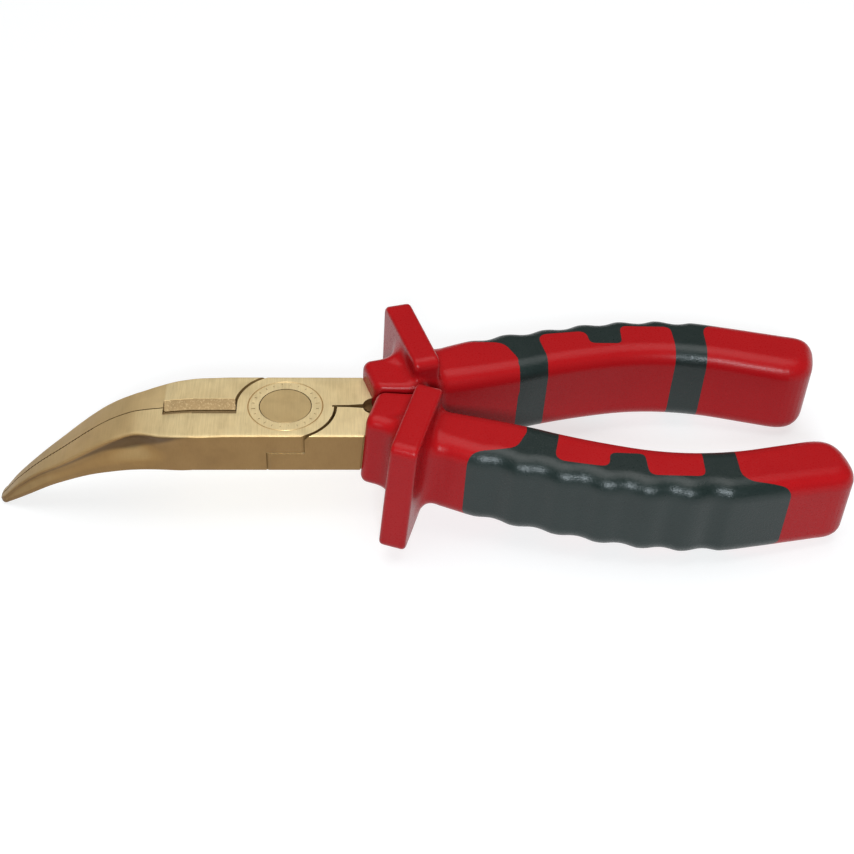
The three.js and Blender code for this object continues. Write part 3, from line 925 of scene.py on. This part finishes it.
def overlay_material():
    """The soft black overlay, with painted shade that darkens its upright faces."""
    m = Nodes("soft_overlay")
    m.fixed(IOR=1.47, Specular_IOR_Level=0.46)
    clouds = m.noise(120, 3.0, 0.5)
    colour = m.mix(clouds, linear(31, 43, 41), linear(39, 51, 49))
    # painted shade: the upright faces are darker than the tops
    painted_side_shade = m.ramp(m.rise(), (0.5, (0.36, 0.52, 0.52)), (0.9, (0.6, 0.68, 0.64)))
    colour = m.mix(1.0, colour, painted_side_shade, "MULTIPLY")
    m.link(colour, m.shader.inputs["Base Color"])
    grain = m.noise(2200, 4.0, 0.65)
    m.link(m.range(grain, 0.3, 0.7, 0.26, 0.38), m.shader.inputs["Roughness"])
    normal = m.bump(grain, 0.55, 0.00014)
    m.link(normal, m.shader.inputs["Normal"])
    return m.material


def sleeve_material():
    """The yellow inner sleeves, which are hidden in the grips."""
    m = Nodes("sleeve_plastic")
    m.fixed(IOR=1.5)
    colour = m.mix(m.noise(300, 2.0), linear(206, 168, 40), linear(226, 190, 62))
    m.link(colour, m.shader.inputs["Base Color"])
    m.link(m.range(m.noise(1500, 3.0), 0.3, 0.7, 0.45, 0.6), m.shader.inputs["Roughness"])
    return m.material


# Bronze tones: ground, as cast, and a darker tone used for painted shade
LEVER_TONES = (linear(250, 226, 173), linear(196, 154, 94), linear(108, 82, 50))
RIVET_TONES = (linear(212, 183, 130), linear(172, 140, 98), linear(118, 92, 60))
BRONZE = bronze_material("brushed_bronze", *LEVER_TONES, brushed=1.0)
RIVET_BRONZE = bronze_material("rivet_bronze", *RIVET_TONES, brushed=0.5)
RED = red_material()
OVERLAY = overlay_material()
SLEEVE = sleeve_material()

# ---- pieces ---------------------------------------------------------------------------
base = blank()
upper = lever("lever_upper", base, -1, 1)
lower = lever("lever_lower", base, 1, -1)
remove(base)
pin = rivet()
mark(upper)
mark(lower)
finished(upper, "upper_half", BRONZE, ["upper_lever"])
finished(lower, "lower_half", BRONZE, ["lower_lever"])
finished(pin, "upper_half", RIVET_BRONZE, ["pivot_rivet"])

for side, word, body in ((1, "right", "upper_half"), (-1, "left", "lower_half")):
    grip, overlay = handle(side)
    grip.name, overlay.name = f"moulding_{word}", f"overlay_{word}"
    finished(grip, body, RED, [f"{word}_grip"])
    finished(overlay, body, OVERLAY, [f"{word}_overlay"])
for word in ("left", "right"):
    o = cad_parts[f"{word}_tang_sleeve"]
    o.data.materials.clear()
    o.data.materials.append(SLEEVE)

# ---- floor, light and camera ----------------------------------------------------------
FLOOR_HALF = 12  # m
FLOOR_TILT = math.radians(2.95)  # it rises towards the handles' ends, so the tool rests on them and its tip
TIP = (-0.0702, 0, -0.0195)  # the floor's point under the tip, in m
LIGHT_TARGET = (0.03, 0, 0)


def area_light(name, place, size, power, colour):
    """A rectangular lamp that faces the middle of the tool."""
    data = bpy.data.lights.new(name, "AREA")
    data.shape = "RECTANGLE"
    data.size, data.size_y = size
    data.energy = power
    data.color = colour
    o = bpy.data.objects.new(name, data)
    bpy.context.scene.collection.objects.link(o)
    o.location = place
    o.rotation_mode = "QUATERNION"
    o.rotation_quaternion = (Vector(LIGHT_TARGET) - Vector(place)).to_track_quat("-Z", "Y")


def studio():
    """A pale floor, a dim white world, a wide light overhead and a small key light in front."""
    h = FLOOR_HALF
    floor = make("floor", [[-h, -h, 0], [h, -h, 0], [h, h, 0], [-h, h, 0]], [(0, 1, 2, 3)])
    floor.matrix_world = Matrix.Translation(Vector(TIP)) @ Matrix.Rotation(-FLOOR_TILT, 4, "Y")
    m = Nodes("floor_white")
    m.fixed(Roughness=0.9)
    tone = m.mix(m.noise(3.0), linear(158, 158, 158), linear(164, 164, 164))
    m.link(tone, m.shader.inputs["Base Color"])
    m.fixed(Emission_Color=(1, 1, 1, 1), Emission_Strength=0.7)
    floor.data.materials.append(m.material)

    world = bpy.data.worlds.new("studio")
    bpy.context.scene.world = world
    world.use_nodes = True
    world.node_tree.nodes["Background"].inputs["Color"].default_value = (1, 1, 1, 1)
    world.node_tree.nodes["Background"].inputs["Strength"].default_value = 0.12

    area_light("overhead", (0.0, 0.12, 1.0), (1.1, 0.9), 7.4, (1, 1, 1))
    area_light("key", (0.0, -0.75, 0.52), (0.2, 0.11), 5.6, (0.84, 0.94, 1.0))


def camera():
    """The photographer's view: in front of the near handle, above it and rolled a little."""
    azimuth, elevation, roll = math.radians(-3.729), math.radians(41.126), math.radians(2.499)
    level = math.cos(elevation)
    back = Vector((math.sin(azimuth) * level, -math.cos(azimuth) * level, math.sin(elevation)))
    level_right = Vector((0, 0, 1)).cross(back).normalized()
    level_up = back.cross(level_right)
    right = math.cos(roll) * level_right + math.sin(roll) * level_up
    up = -math.sin(roll) * level_right + math.cos(roll) * level_up
    # in mm, from the centre of the joint
    place = 33.573 * right - 0.958 * up + 383.9 * back + Vector((0, 0, HALF_THICK))
    data = bpy.data.cameras.new("camera")
    data.sensor_width = 36
    data.lens = 67.986
    data.clip_start, data.clip_end = 0.01, 60
    o = bpy.data.objects.new("camera", data)
    bpy.context.scene.collection.objects.link(o)
    o.matrix_world = Matrix.Translation(place * MM) @ Matrix((right, up, back)).transposed().to_4x4()
    bpy.context.scene.camera = o


studio()
camera()
bpy.context.scene.view_settings.view_transform = "Standard"
